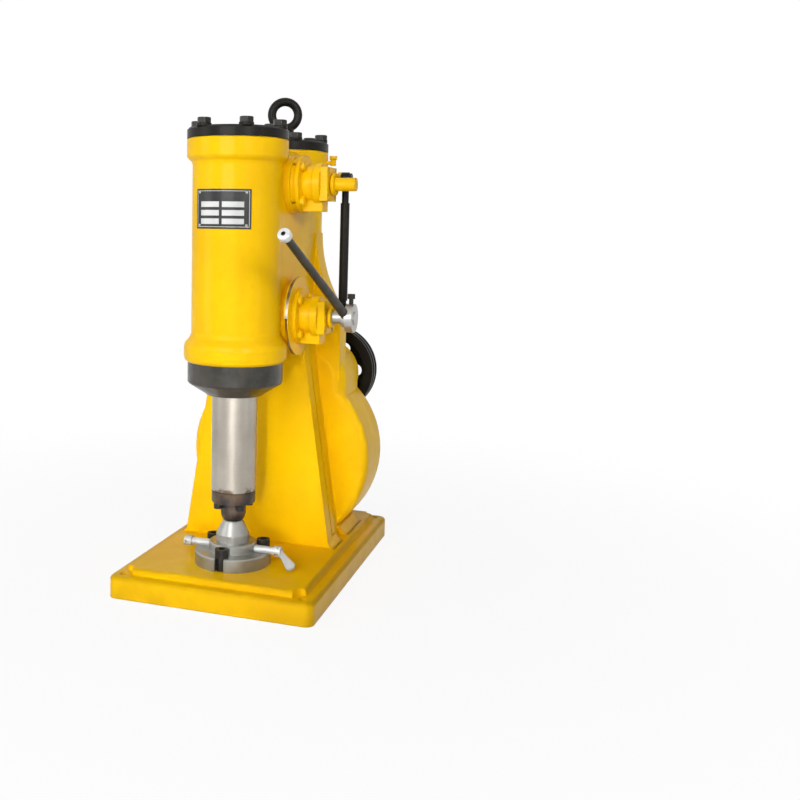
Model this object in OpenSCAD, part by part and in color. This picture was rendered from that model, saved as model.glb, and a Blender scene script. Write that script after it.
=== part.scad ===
// Small self-contained air forging hammer.
// Origin: middle of the base, on the floor. +Z up, +X to the operator's right, front towards -Y.

/* [Base] */
// width of the base plate, left to right
base_w = 382; // [345:1:430]
// depth of the base plate, front to back
base_d = 573; // [550:1:630]
// height of the base plate at its rim
base_t = 40; // [30:1:50]
// height of the raised pad on the base above the rim
pad_h = 12; // [6:1:16]
// radius of the holes for the foundation bolts
anchor_hole_r = 7; // [5:0.5:8]
// inset of the foundation bolt holes from the rim
anchor_inset = 22; // [19:1:26]

/* [Frame] */
// distance of the hammer axis behind the front edge of the base
axis_back = 129; // [123:1:136]
// throat: hammer axis to the front face of the column
throat = 138; // [130:1:146]
// distance between the hammer axis and the compressor axis
axis_gap = 264; // [258:1:270]
// sideways place of the column's middle
column_x = -4; // [-8:1:4]
// half width of the column at its head
head_half_w = 93; // [90:1:100]
// outer radius of the round gear case
case_r = 186; // [182:1:190]
// sideways place of the gear case's middle
case_x = 6; // [2:1:9]
// depth of the gear case, front to back
case_d = 113; // [113:1:122]
// distance of the gear case's back face behind the compressor axis
case_gap = 87; // [84:1:90]
// outer radius of the pinion boss of the gear case
boss_r = 71; // [66:1:76]

/* [Cylinders] */
// outer radius of the working cylinder
front_r = 80; // [76:1:84]
// bore radius of the working cylinder
front_bore_r = 55; // [50:1:60]
// height of the working cylinder's top face
front_top = 818; // [800:1:835]
// height of the working cylinder's bottom face
front_bottom = 424; // [418:1:430]
// outer radius of the compressor cylinder
rear_r = 78; // [75:1:82]
// bore radius of the compressor cylinder
rear_bore_r = 60; // [58:1:62]
// height of the compressor cylinder's top face
rear_top = 815; // [805:1:830]
// thickness of the black cylinder caps
cap_t = 19; // [15:1:24]

/* [Ram and dies] */
// radius of the ram
ram_r = 41; // [36:0.5:43]
// height of the ram's lower face at rest
ram_bottom = 188; // [183:1:194]
// height of the striking plane on the lower die
strike_z = 131; // [126:1:136]
// radius of the lower die's body
die_r = 30.5; // [26:0.5:34]
// radius of the die holder's flange on the base
holder_r = 70; // [66:1:78]
// radius of the die holder's upper ring
ring_r = 44; // [42:0.5:45]

/* [Air valves] */
// height of the lower valve's axis
lower_valve_z = 503; // [490:1:512]
// height of the upper valve's axis
upper_valve_z = 743; // [734:1:750]
// distance of the valve axes behind the hammer axis
valve_back = 84; // [80:1:90]
// radius of the round valve plugs
plug_r = 22; // [18:0.5:24]
// length of the operating handle
handle_l = 324; // [260:1:350]
// radius of the operating handle's bar
handle_r = 8.5; // [7:0.5:9.5]
// radius of the handle's knob
knob_r = 13.5; // [12.5:0.5:16]

/* [Drive] */
// height of the crankshaft's axis
crank_z = 204; // [200:1:208]
// crank throw, half of the compressor stroke
crank_throw = 35; // [28:1:36]
// length of the connecting rod between its eyes
rod_l = 350; // [340:1:358]
// sideways place of the pinion shaft
pinion_x = 70; // [66:1:74]
// height of the pinion shaft's axis
pinion_z = 362; // [358:1:368]
// number of teeth on the pinion
pinion_teeth = 17; // [16:1:20]
// number of teeth on the crank gear
gear_teeth = 68; // [60:1:72]
// outer radius of the belt pulley
pulley_r = 92; // [85:1:100]
// width of the belt pulley
pulley_w = 41; // [40:1:50]

/* [Hidden] */
fit = 0.05;
air = 0.3;
cut = 1;
fn_big = 96;
fn_mid = 64;
fn_small = 32;
y_ham = -base_d / 2 + axis_back;
y_face = y_ham + throat;
y_comp = y_ham + axis_gap;
case_back = y_comp + case_gap;
case_front = case_back - case_d;
pad_z = base_t + pad_h;
foot_half_w = case_r - 37;
y_valve = y_ham + valve_back;
cap_flange_r = front_r + 10;
rear_flange_r = rear_r + 10;
foot_flange_r = front_r + 13;
front_bolt_circle_r = cap_flange_r - 13;
rear_bolt_circle_r = (rear_bore_r + rear_flange_r) / 2;
cap_bolt_d = 14;
cap_bolt_hole = 30;
cap_boss_h = 4;
eye_boss_h = 20;
chest_x = 86;
chest_wall = 12;
gland_top_h = 16;
gland_h = 60;
gland_r = front_r + 6;
gland_neck_r = ram_r + 11;
gland_skirt = 36;
bush_t = 6;
piston_bottom = front_bottom + gland_top_h + 10;
piston_h = 70;
ring_places = [piston_bottom + 16, piston_bottom + 42];
ring_h = 7;
ring_depth = 5;
plate_drop = 123;
plate_z = front_top - plate_drop;
plate_h = 68;
plate_t = 1.2;
oil_cup_drop = 22;
collar_h = 23;
collar_screw_d = 10;
collar_screw_in = 20;
die_stem_r = 15;
rear_bottom = pinion_z + 100;
rod_mid_z = crank_z - crank_throw;
wrist_z = rod_mid_z + rod_l;
comp_piston_h = 130;
comp_piston_bottom = wrist_z - 30;
comp_ring_depth = 4;
comp_piston_top = comp_piston_bottom + comp_piston_h;
comp_ring_places = [comp_piston_top - 6 * ring_h, comp_piston_top - 3 * ring_h];
gear_y0 = y_comp + 27;
gear_w = 40;
gear_dist = sqrt(pow(pinion_x, 2) + pow(pinion_z - crank_z, 2));
gear_angle = atan2(pinion_z - crank_z, pinion_x);
module_size = 2 * gear_dist / (pinion_teeth + gear_teeth);
pinion_pitch_r = module_size * pinion_teeth / 2;
gear_pitch_r = module_size * gear_teeth / 2;
addendum = 0.85 * module_size;
dedendum = 1.2 * module_size;
gear_hole_r = gear_pitch_r * 0.115;
gear_hole_circle_r = gear_pitch_r * 0.665;
gear_hollow_r = gear_pitch_r + addendum + 5;
pinion_hollow_r = pinion_pitch_r + addendum + 5;
cover_t = 15;
cover_back = case_back + cover_t;
bearing_back = cover_back + 26;
crank_journal_r = 24;
pinion_shaft_r = 15;
bush_wall = 8;
crank_boss_wall = 22;
pinion_boss_wall = 20;
rib_t = 8;
rib_h = 12;
rib_in = 40;
rib_out = 118;
pulley_y0 = bearing_back + 4;
pulley_y1 = pulley_y0 + pulley_w;
pulley_hub_r = 2 * pinion_shaft_r + 2;
pulley_rim_r = pulley_r - 20;
pulley_web_in = 14;
pulley_hole_r = 13;
crank_pin_r = 14;
wrist_r = 8;
small_eye_r = 15;
piston_wall = 7;
port_x = 30;
port_r = 9;
cover_bolt_r = case_r - 18;
low_bolt_angle = asin(max(-0.96, (pad_z + 8 - crank_z) / cover_bolt_r));
boss_bolt_r = boss_r - 13;
flare_r = 265;
flare_top = 655;
shoulder_x = pinion_x + boss_r - 10;
case_rim = 14;
boss_rim = 24;
gear_hub_l = case_back - gear_y0 - gear_w - 2;
rod_t = 29;
rod_room = rod_t / 2 + 11.5;
bore_bottom = front_bottom + 46;
flange_t = 24;
holder_top = pad_z + flange_t + 16;
clamp_z = pad_z + 29;
clamp_r = 7;
clamp_end = 94;
clamp_turn = -50;
fork_gap = 7;
ring_foot = 0.8;
bolt_circle_r = ring_r + ring_foot + 12.4;
spigot_r = plug_r + 27;
spigot_h = 8;
lower_flange_r = 72;
valve_flange_x1 = chest_x + 16;
valve_screw_r = 5;
valve_screw_l = 34;
valve_screw_circle_r = plug_r + 22;
end_screw_d = 8;
end_screw_at = 22;
valve_body_x1 = valve_flange_x1 + 34;
valve_end_x = valve_body_x1 + 14;
spindle_r = 12;
arm_x0 = valve_end_x + 2;
arm_t = 6;
link_t = 13;
link_r = 8.3;
link_neck_r = 6.3;
link_pin_r = 5;
link_x0 = arm_x0 + arm_t + 1;
hub_x0 = link_x0 + link_t + 4;
hub_t = 22;
hub_r = 26;
hub_sleeve_r = 17;
hub_disc_t = 14;
bar_in = 8;
hub_screw_r = 4;
arm_dy = 37.6;
arm_dz = 13.7;
handle_dir = [-32, -284, 153];
handle_root = 15;
knob_h = 14;
handle_unit = handle_dir / norm(handle_dir);

yellow = [0.93, 0.72, 0.05];
black = [0.12, 0.12, 0.12];
steel = [0.75, 0.75, 0.74];
dark_steel = [0.32, 0.32, 0.33];
bronze = [0.66, 0.5, 0.25];

// round bar along Y between two depths
module bar_y(r, y0, y1, x, z, n = fn_mid) {
    translate([x, y1, z]) rotate([90, 0, 0]) cylinder(r = r, h = y1 - y0, $fn = n);
}

// round bar along X between two places
module bar_x(r, x0, x1, y, z, n = fn_mid) {
    translate([x0, y, z]) rotate([0, 90, 0]) cylinder(r = r, h = x1 - x0, $fn = n);
}

// round bar along Z between two heights
module bar_z(r, z0, z1, x = 0, y = 0, n = fn_mid) {
    translate([x, y, z0]) cylinder(r = r, h = z1 - z0, $fn = n);
}

// box from two corners
module block(a, b) {
    translate(a) cube(b - a);
}

// flat outline in the X-Z plane, given depth
module slab_y(y0, y1) {
    translate([0, y1, 0]) rotate([90, 0, 0]) linear_extrude(y1 - y0) children();
}

// rectangle with rounded corners, centred
module round_rect(w, d, r) {
    square([w - 2 * r, d], center = true);
    square([w, d - 2 * r], center = true);
    for (sx = [-1, 1], sy = [-1, 1]) {
        translate([sx * (w / 2 - r), sy * (d / 2 - r)]) circle(r = r, $fn = fn_small);
    }
}

// upright block with rounded corners, its upper edge rounded over in fine steps
module eased_block(w, d, corner, low, high, ease) {
    steps = 6;
    rise = 90 / steps;
    translate([0, 0, low]) linear_extrude(high - low - ease * (1 - sin(rise))) round_rect(w, d, corner);
    for (k = [2 : steps]) {
        inset = ease * (1 - cos(rise * (k - 0.5)));
        from = high - ease - cut * k / 2;
        translate([0, 0, from]) linear_extrude(high - ease * (1 - sin(rise * k)) - from)
            round_rect(w - 2 * inset, d - 2 * inset, corner - inset / 2);
    }
}

// hexagon head bolt: head above the seat, shank below it
module hex_bolt(d, shank) {
    head_r = d * 0.9;
    head_h = d * 0.7;
    bevel = d * 0.08;
    intersection() {
        cylinder(r = head_r, h = head_h, $fn = 6);
        rotate_extrude($fn = fn_mid) polygon([
            [0, 0], [head_r, 0], [head_r, head_h - bevel], [head_r - bevel * 1.8, head_h], [0, head_h]
        ]);
    }
    translate([0, 0, -shank]) cylinder(r = d / 2, h = shank + cut / 2, $fn = fn_small);
}

// socket cap screw: head above the seat, shank below it
module cap_screw(d, shank) {
    difference() {
        cylinder(r = d * 0.75, h = d, $fn = fn_small);
        translate([0, 0, d * 0.4]) cylinder(r = d * 0.46, h = d, $fn = 6);
    }
    translate([0, 0, -shank]) cylinder(r = d / 2, h = shank + cut / 2, $fn = fn_small);
}

// straight-flanked gear outline with a tooth at angle zero
module gear_outline(teeth, pitch_r) {
    root = pitch_r - dedendum;
    tip = pitch_r + addendum;
    pitch_angle = 360 / teeth;
    thick = pitch_angle * 0.43;
    step_in = atan((pitch_r - root) * tan(17) / pitch_r);
    step_out = atan((tip - pitch_r) * tan(20) / pitch_r);
    points = [
        for (i = [0 : teeth - 1])
        for (k = [[-thick / 2 - step_in, root], [-thick / 2 + step_out, tip],
                  [thick / 2 - step_out, tip], [thick / 2 + step_in, root]])
        [k[1] * cos(i * pitch_angle + k[0]), k[1] * sin(i * pitch_angle + k[0])]
    ];
    polygon(points);
}

module base() {
    base_ease = 8;
    pad_ease = 7;
    pad_inset_x = 22;
    pad_inset_y = 20;
    corner_clear_r = anchor_hole_r * 2.6;
    color(yellow) difference() {
        union() {
            eased_block(base_w, base_d, 16, 0, base_t, base_ease);
            difference() {
                eased_block(base_w - 2 * pad_inset_x, base_d - 2 * pad_inset_y, 12, base_t - cut, pad_z, pad_ease);
                for (sx = [-1, 1], sy = [-1, 1]) {
                    bar_z(corner_clear_r, base_t, pad_z + cut,
                          sx * (base_w / 2 - anchor_inset), sy * (base_d / 2 - anchor_inset), fn_small);
                }
            }
        }
        for (sx = [-1, 1], sy = [-1, 1]) {
            bar_z(anchor_hole_r, -cut, base_t + pad_h + cut,
                  sx * (base_w / 2 - anchor_inset), sy * (base_d / 2 - anchor_inset), fn_small);
        }
        for (a = [0 : 2]) {
            turn = -90 + a * 120;
            bar_z(8 + fit, base_t - 25, pad_z + cut,
                  bolt_circle_r * cos(turn), y_ham + bolt_circle_r * sin(turn), fn_small);
        }
    }
}

// half width of the column at a height
function column_half_w(z) = foot_half_w + (head_half_w - foot_half_w) * (z - pad_z) / (front_bottom - pad_z);

// tapered outline of the column, drawn in by an amount on each side
module column_outline(inset, top) {
    translate([column_x, 0]) polygon([
        [-column_half_w(pad_z) + inset, pad_z],
        [column_half_w(pad_z) - inset, pad_z],
        [column_half_w(front_bottom) - inset, front_bottom],
        [column_half_w(front_bottom) - inset, top],
        [-column_half_w(front_bottom) + inset, top],
        [-column_half_w(front_bottom) + inset, front_bottom]
    ]);
}

// hollow of the column, open to the base
module column_hollow() {
    wall = 30;
    top = front_bottom - 60;
    translate([column_x, 0]) polygon([
        [-foot_half_w + wall, pad_z - cut], [foot_half_w - wall, pad_z - cut],
        [column_half_w(top) - wall, top - 20], [column_half_w(top) - wall - 20, top],
        [-column_half_w(top) + wall + 20, top], [-column_half_w(top) + wall, top - 20]
    ]);
}

// concave turn from the column's face to the underside of the chest
module throat_round(r) {
    side = 8;
    difference() {
        block([-head_half_w + side, y_face - r, front_bottom + side - r],
              [head_half_w - side, y_face + cut, front_bottom + side + cut]);
        bar_x(r, -head_half_w, head_half_w, y_face - r, front_bottom + side - r);
    }
}

// outline of the gear case: big drum, pinion boss and foot
module case_outline(shrink) {
    difference() {
        union() {
            translate([case_x, crank_z]) circle(r = case_r - shrink, $fn = fn_big);
            translate([pinion_x, pinion_z]) circle(r = boss_r - shrink, $fn = fn_mid);
        }
        translate([-case_r * 2, crank_z - case_r * 2]) square([case_r * 4, pad_z - crank_z + case_r * 2]);
    }
}

// round part of the gear case, its front rim rounded over
module case_drum(x, z, r, rim) {
    translate([x, case_front, z]) rotate([-90, 0, 0]) rotate_extrude($fn = fn_big) polygon(concat(
        [[0, 0]],
        [for (a = [0 : 15 : 90]) [r - rim + rim * sin(a), rim - rim * cos(a)]],
        [[r, case_d], [0, case_d]]
    ));
}

// side wall that joins the pinion boss to the big drum, its front corner rounded like the boss
module case_side() {
    w = pinion_x + boss_r;
    z0 = pinion_z - 80;
    translate([0, 0, z0]) linear_extrude(pinion_z - z0) polygon(concat(
        [[0, case_front]],
        [for (a = [0 : 15 : 90]) [w - boss_rim * (1 - sin(a)), case_front + boss_rim * (1 - cos(a))]],
        [[w, case_back], [0, case_back]]
    ));
}

// concave web from the compressor cylinder down to the shoulder over the pinion boss
module flare_outline() {
    difference() {
        translate([0, pinion_z]) square([shoulder_x, flare_top - pinion_z]);
        translate([rear_r + flare_r, flare_top]) circle(r = flare_r, $fn = fn_big * 2);
    }
}

// concave sweep where the column or case meets the pad
module foot_sweep(half_w, r) {
    for (s = [-1, 1]) scale([s, 1]) difference() {
        translate([half_w - r * 0.7, pad_z]) square([r * 1.7, r]);
        translate([half_w + r, pad_z + r]) circle(r = r, $fn = fn_small);
    }
}

module front_cylinder_body() {
    translate([0, y_ham, 0]) rotate_extrude($fn = fn_big) polygon([
        [0, front_bottom], [foot_flange_r - 6, front_bottom], [foot_flange_r - 1.5, front_bottom + 4],
        [foot_flange_r, front_bottom + 12], [foot_flange_r, front_bottom + 26],
        [foot_flange_r - 2, front_bottom + 34], [foot_flange_r - 7, front_bottom + 39],
        [front_r + 2, front_bottom + 45], [front_r, front_bottom + 52],
        [front_r, front_top - 46], [front_r + 2, front_top - 40], [cap_flange_r - 3, front_top - 36],
        [cap_flange_r, front_top - 32], [cap_flange_r, front_top - 2], [cap_flange_r - 2, front_top],
        [0, front_top]
    ]);
}

module rear_cylinder_body() {
    translate([0, y_comp, 0]) rotate_extrude($fn = fn_big) polygon([
        [0, rear_bottom], [rear_r - 8, rear_bottom], [rear_r, rear_bottom + 8], [rear_r, rear_top - 44],
        [rear_r + 3, rear_top - 38], [rear_flange_r - 3, rear_top - 33], [rear_flange_r, rear_top - 29],
        [rear_flange_r, rear_top - 2], [rear_flange_r - 2, rear_top], [0, rear_top]
    ]);
}

// raised seat on the chest side for one valve
module valve_seat(z, ledge) {
    bar_x(plug_r + ledge, chest_x - 20, chest_x, y_valve, z);
    bar_x(spigot_r, chest_x - cut, chest_x + spigot_h, y_valve, z);
}

module frame_solid() {
    plate_back = y_face + 30;
    rib_front = plate_back + 15;
    rib_back = rib_front + 19;
    head = front_bottom + 30;
    slab_y(y_face, plate_back) column_outline(0, head);
    slab_y(plate_back - cut, rib_front + cut) column_outline(9, head);
    slab_y(rib_front, rib_back) column_outline(3, head);
    slab_y(rib_back - cut, case_back) column_outline(9, head + 30);
    slab_y(y_face, rib_back) translate([column_x, 0]) foot_sweep(foot_half_w - 2, 14);
    difference() {
        union() {
            case_drum(case_x, crank_z, case_r, case_rim);
            case_drum(pinion_x, pinion_z, boss_r, boss_rim);
            case_side();
        }
        block([-case_r * 2, case_front - cut, -case_r], [case_r * 2, case_back + cut, pad_z]);
    }
    slab_y(y_comp - 25, y_comp + 20) flare_outline();
    slab_y(case_front, case_back) translate([column_x, 0]) foot_sweep(foot_half_w - 4, 17);
    throat_round(40);
    front_cylinder_body();
    rear_cylinder_body();
    chest_top = rear_top - 40;
    side = chest_x - chest_wall;
    bridge = chest_x - 3 * chest_wall;
    block([-side, y_ham, front_bottom + 8], [side, y_comp, chest_top]);
    block([-bridge, y_ham, chest_top - cut], [bridge, y_comp, rear_top - 8]);
    valve_seat(lower_valve_z, 39);
    valve_seat(upper_valve_z, 31);
}

module frame() {
    color(yellow) difference() {
        frame_solid();
        bar_z(front_bore_r, front_bottom - cut, front_top + cut, 0, y_ham, fn_big);
        bar_z(rear_bore_r, bore_bottom, rear_top + cut, 0, y_comp, fn_big);
        block([-crank_throw - 25, y_comp - rod_room, crank_z],
              [crank_throw + 25, y_comp + rod_room, bore_bottom + cut]);
        bar_y(crank_throw + 37, y_comp - rod_room, y_comp + rod_room, 0, crank_z, fn_big);
        bar_y(gear_hollow_r, y_comp + 22, case_back + cut, 0, crank_z, fn_big);
        bar_y(pinion_hollow_r, y_comp + 22, case_back + cut, pinion_x, pinion_z, fn_mid);
        for (z = [lower_valve_z, upper_valve_z]) {
            bar_x(plug_r + fit, 10, chest_x + spigot_h + cut, y_valve, z);
            bar_y(port_r, y_ham + front_bore_r * 0.75, y_comp - rear_bore_r * 0.75, port_x, z, fn_small);
        }
        oil_cup_places() bar_x(5, -20, cut, 0, 0, fn_small);
        slab_y(y_face + 24, y_comp - 46) column_hollow();
        cover_bolt_places() bar_y(4, case_back - 24, case_back + cut, 0, 0, fn_small);
        front_bolt_places() bar_z(cap_bolt_d / 2, -cap_bolt_hole, cut, 0, 0, fn_small);
        rear_bolt_places() bar_z(cap_bolt_d / 2, -cap_bolt_hole, cut, 0, 0, fn_small);
        for (z = [lower_valve_z, upper_valve_z]) {
            valve_bolt_places(z) bar_x(valve_screw_r, -20, spigot_h + cut, 0, 0, fn_small);
        }
    }
}

module front_bolt_places() {
    for (a = [1 : 60 : 301]) {
        translate([front_bolt_circle_r * cos(a), y_ham + front_bolt_circle_r * sin(a), front_top]) children();
    }
}

module rear_bolt_places() {
    for (a = [5 : 60 : 305]) {
        translate([rear_bolt_circle_r * cos(a), y_comp + rear_bolt_circle_r * sin(a), rear_top]) children();
    }
}

// turned cap blank with a bevelled rim
module cap_shape(r) {
    rotate_extrude($fn = fn_big) polygon([[0, 0], [r, 0], [r, cap_t - 4], [r - 4, cap_t], [0, cap_t]]);
}

module front_cap() {
    color(black) difference() {
        union() {
            translate([0, y_ham, front_top]) cap_shape(cap_flange_r);
            front_bolt_places() bar_z(cap_bolt_d - 1, cap_t - cut, cap_t + cap_boss_h, 0, 0, fn_mid);
            bar_z(front_bore_r - fit, front_top - 8, front_top + cut, 0, y_ham, fn_big);
        }
        front_bolt_places() bar_z(cap_bolt_d / 2, -cut, cap_t + cap_boss_h + cut, 0, 0, fn_small);
    }
}

module rear_cap() {
    color(black) difference() {
        union() {
            translate([0, y_comp, rear_top]) cap_shape(rear_flange_r);
            rear_bolt_places() bar_z(cap_bolt_d - 1, cap_t - cut, cap_t + cap_boss_h, 0, 0, fn_mid);
            bar_z(24, rear_top + cap_t - cut, rear_top + cap_t + eye_boss_h, 0, y_comp);
            bar_z(rear_bore_r - fit, rear_top - 8, rear_top + cut, 0, y_comp, fn_big);
        }
        rear_bolt_places() bar_z(cap_bolt_d / 2, -cut, cap_t + cap_boss_h + cut, 0, 0, fn_small);
        bar_z(10, rear_top + 4, rear_top + cap_t + eye_boss_h + cut, 0, y_comp, fn_small);
    }
}

module cap_bolts() {
    seat = cap_t + cap_boss_h;
    color(black) {
        front_bolt_places() translate([0, 0, seat]) hex_bolt(cap_bolt_d, seat + cap_bolt_hole - 5);
        rear_bolt_places() translate([0, 0, seat]) hex_bolt(cap_bolt_d, seat + cap_bolt_hole - 5);
    }
}

module eyebolt() {
    seat = rear_top + cap_t + eye_boss_h;
    ring_mid = 26;
    ring_wire = 8.5;
    color(black) translate([0, y_comp, seat]) {
        cylinder(r = 18, h = 8, $fn = fn_mid);
        translate([0, 0, -30]) cylinder(r = 10, h = 31, $fn = fn_small);
        translate([0, 0, 7]) cylinder(r1 = 13, r2 = 9, h = 7, $fn = fn_mid);
        translate([0, 0, 8 + ring_mid]) rotate([90, 0, 21]) rotate_extrude($fn = fn_mid)
            translate([ring_mid, 0]) circle(r = ring_wire, $fn = fn_small);
    }
}

module gland() {
    color(black) translate([0, y_ham, 0]) rotate_extrude($fn = fn_big) polygon([
        [ram_r + bush_t, front_bottom - gland_h], [gland_neck_r, front_bottom - gland_h],
        [gland_neck_r + 2, front_bottom - gland_h + 2], [gland_r - 2, front_bottom - gland_skirt - 3],
        [gland_r, front_bottom - gland_skirt], [gland_r, front_bottom],
        [front_bore_r - fit, front_bottom], [front_bore_r - fit, front_bottom + gland_top_h],
        [ram_r + bush_t, front_bottom + gland_top_h]
    ]);
}

module guide_bush() {
    color(bronze) translate([0, y_ham, 0]) rotate_extrude($fn = fn_big) polygon([
        [ram_r + fit, front_bottom - gland_h + 4], [ram_r + bush_t, front_bottom - gland_h + 4],
        [ram_r + bush_t, front_bottom + gland_top_h - 2], [ram_r + fit, front_bottom + gland_top_h - 2]
    ]);
}

module nameplate() {
    color(steel) translate([0, y_ham, plate_z]) rotate([0, 0, -128]) rotate_extrude(angle = 76, $fn = fn_big)
        translate([front_r + air / 2, -plate_h / 2]) square([plate_t, plate_h]);
}

module plate_rivets() {
    color(steel) for (a = [-122, -58], dz = [-plate_h / 2 + 6, plate_h / 2 - 6]) {
        translate([0, y_ham, plate_z + dz]) rotate([0, 0, a]) rotate([0, 90, 0])
            translate([0, 0, front_r + plate_t + air / 2])
                cylinder(r1 = 2.6, r2 = 1.4, h = 1.4, $fn = fn_small);
    }
}

// oiling points on the compressor wall, X pointing out of the wall
module oil_cup_places() {
    for (side = [0, 180]) {
        translate([0, y_comp, rear_top - oil_cup_drop]) rotate([0, 0, side])
            translate([rear_flange_r, 0, 0]) children();
    }
}

module oil_cups() {
    color(yellow) oil_cup_places() {
        bar_x(4, -8, 12, 0, 0, fn_small);
        bar_z(5.5, -6, 7, 14, 0, fn_small);
        bar_z(7.5, 6, 13, 14, 0, fn_small);
    }
}

module cover_bolt_places() {
    for (i = [0 : 3]) {
        a = low_bolt_angle + i * (20 - low_bolt_angle) / 3;
        translate([case_x + cover_bolt_r * cos(a), 0, crank_z + cover_bolt_r * sin(a)]) children();
    }
    for (i = [0 : 5]) {
        a = 110 + i * (70 - low_bolt_angle) / 5;
        translate([case_x + cover_bolt_r * cos(a), 0, crank_z + cover_bolt_r * sin(a)]) children();
    }
    for (a = [15, 75, 135]) {
        translate([pinion_x + boss_bolt_r * cos(a), 0, pinion_z + boss_bolt_r * sin(a)]) children();
    }
}

module gear_cover() {
    color(yellow) difference() {
        union() {
            slab_y(case_back, cover_back) case_outline(2);
            bar_y(crank_journal_r + crank_boss_wall, cover_back - cut, bearing_back, 0, crank_z);
            bar_y(pinion_shaft_r + pinion_boss_wall, cover_back - cut, bearing_back, pinion_x, pinion_z);
            for (a = [0 : 60 : 300]) {
                translate([0, 0, crank_z]) rotate([0, a, 0])
                    block([-rib_t / 2, cover_back - cut, rib_in], [rib_t / 2, cover_back + rib_h, rib_out]);
            }
        }
        bar_y(crank_journal_r + bush_wall, case_back - cut, bearing_back + cut, 0, crank_z);
        bar_y(pinion_shaft_r + bush_wall, case_back - cut, bearing_back + cut, pinion_x, pinion_z);
        cover_bolt_places() bar_y(4, case_back - cut, cover_back + cut, 0, 0, fn_small);
    }
}

module cover_bolts() {
    color(dark_steel) cover_bolt_places() translate([0, cover_back, 0]) rotate([-90, 0, 0]) hex_bolt(8, 36);
}

module crank_bush() {
    color(bronze) difference() {
        bar_y(crank_journal_r + bush_wall, case_back, bearing_back, 0, crank_z);
        bar_y(crank_journal_r + fit, case_back - cut, bearing_back + cut, 0, crank_z);
    }
}

module pinion_bush() {
    color(bronze) difference() {
        bar_y(pinion_shaft_r + bush_wall, case_back, bearing_back, pinion_x, pinion_z);
        bar_y(pinion_shaft_r + fit, case_back - cut, bearing_back + cut, pinion_x, pinion_z);
    }
}

module valve_bolt_places(z) {
    for (a = [45 : 90 : 315]) {
        translate([chest_x, y_valve + valve_screw_circle_r * cos(a), z + valve_screw_circle_r * sin(a)])
            children();
    }
}

module valve_body(z) {
    block_half = 30;
    lug_half = 18;
    difference() {
        union() {
            bar_x(plug_r + 30, chest_x + spigot_h, valve_flange_x1, y_valve, z);
            bar_x(plug_r + 12, valve_flange_x1 - cut, valve_body_x1, y_valve, z);
            bar_x(plug_r + 16, valve_body_x1 - 14, valve_body_x1, y_valve, z);
            block([valve_body_x1 - cut, y_valve - block_half, z - block_half],
                  [valve_end_x, y_valve + block_half, z + block_half]);
            block([valve_flange_x1 - cut, y_valve - lug_half, z - plug_r - 27],
                  [valve_body_x1 + 2, y_valve + lug_half, z - plug_r - fit]);
        }
        bar_x(plug_r + fit, chest_x, valve_body_x1 + 2, y_valve, z);
        bar_x(spindle_r + fit, valve_body_x1, valve_end_x + cut, y_valve, z);
        valve_bolt_places(z) bar_x(valve_screw_r, 0, valve_flange_x1 - chest_x + cut, 0, 0, fn_small);
        end_screw_places(z) {
            bar_x(end_screw_d / 2, -end_screw_d - 14, cut, 0, 0, fn_small);
            bar_x(end_screw_d * 0.85, -end_screw_d, cut, 0, 0, fn_small);
        }
    }
}

// seats of the four screws in the square end of a valve body
module end_screw_places(z) {
    for (sy = [-1, 1], sz = [-1, 1]) {
        translate([valve_end_x, y_valve + sy * end_screw_at, z + sz * end_screw_at]) children();
    }
}

// bare machined flange ring between the chest and the lower valve body
module lower_flange() {
    color(steel) difference() {
        bar_x(lower_flange_r, chest_x, chest_x + spigot_h, y_valve, lower_valve_z, fn_big);
        bar_x(spigot_r + fit, chest_x - cut, chest_x + spigot_h + cut, y_valve, lower_valve_z);
        bar_z(foot_flange_r + air, front_bottom, lower_valve_z, 0, y_ham, fn_big);
    }
}

module upper_valve_body() {
    color(yellow) valve_body(upper_valve_z);
}

module lower_valve_body() {
    color(yellow) valve_body(lower_valve_z);
}

module valve_bolts() {
    color(yellow) for (z = [lower_valve_z, upper_valve_z]) {
        valve_bolt_places(z) translate([valve_flange_x1 - chest_x, 0, 0]) rotate([0, 90, 0])
            hex_bolt(2 * valve_screw_r, valve_screw_l);
        end_screw_places(z) translate([-end_screw_d, 0, 0]) rotate([0, 90, 0]) cap_screw(end_screw_d, 12);
    }
}

// round plug with a port cut through it, and its spindle
module valve_plug(z, end) {
    difference() {
        union() {
            bar_x(plug_r, 12, valve_body_x1 + 1, y_valve, z);
            bar_x(spindle_r, valve_body_x1, end, y_valve, z);
        }
        translate([port_x, y_valve, z]) rotate([60, 0, 0]) translate([0, 0, -plug_r - cut])
            cylinder(r = port_r, h = 2 * plug_r + 2 * cut, $fn = fn_small);
    }
}

module upper_plug() {
    color(yellow) valve_plug(upper_valve_z, hub_x0 + hub_t - 3);
}

module lower_plug() {
    color(steel) valve_plug(lower_valve_z, hub_x0 + hub_t + 2);
}

// crank arm on a valve spindle with an eye for the link
module valve_arm(z) {
    arm_l = norm([arm_dy, arm_dz]);
    difference() {
        union() {
            bar_x(spindle_r + 8, arm_x0, arm_x0 + arm_t, y_valve, z);
            bar_x(10, arm_x0, arm_x0 + arm_t, y_valve + arm_dy, z + arm_dz, fn_small);
            translate([arm_x0, y_valve, z]) rotate([atan2(arm_dz, arm_dy), 0, 0])
                translate([0, 0, -9]) cube([arm_t, arm_l, 18]);
        }
        bar_x(spindle_r, arm_x0 - cut, arm_x0 + arm_t + cut, y_valve, z);
        bar_x(link_pin_r, arm_x0 - cut, arm_x0 + arm_t + cut, y_valve + arm_dy, z + arm_dz, fn_small);
    }
}

module upper_arm() {
    color(yellow) valve_arm(upper_valve_z);
}

module lower_arm() {
    color(black) valve_arm(lower_valve_z);
}

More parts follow.
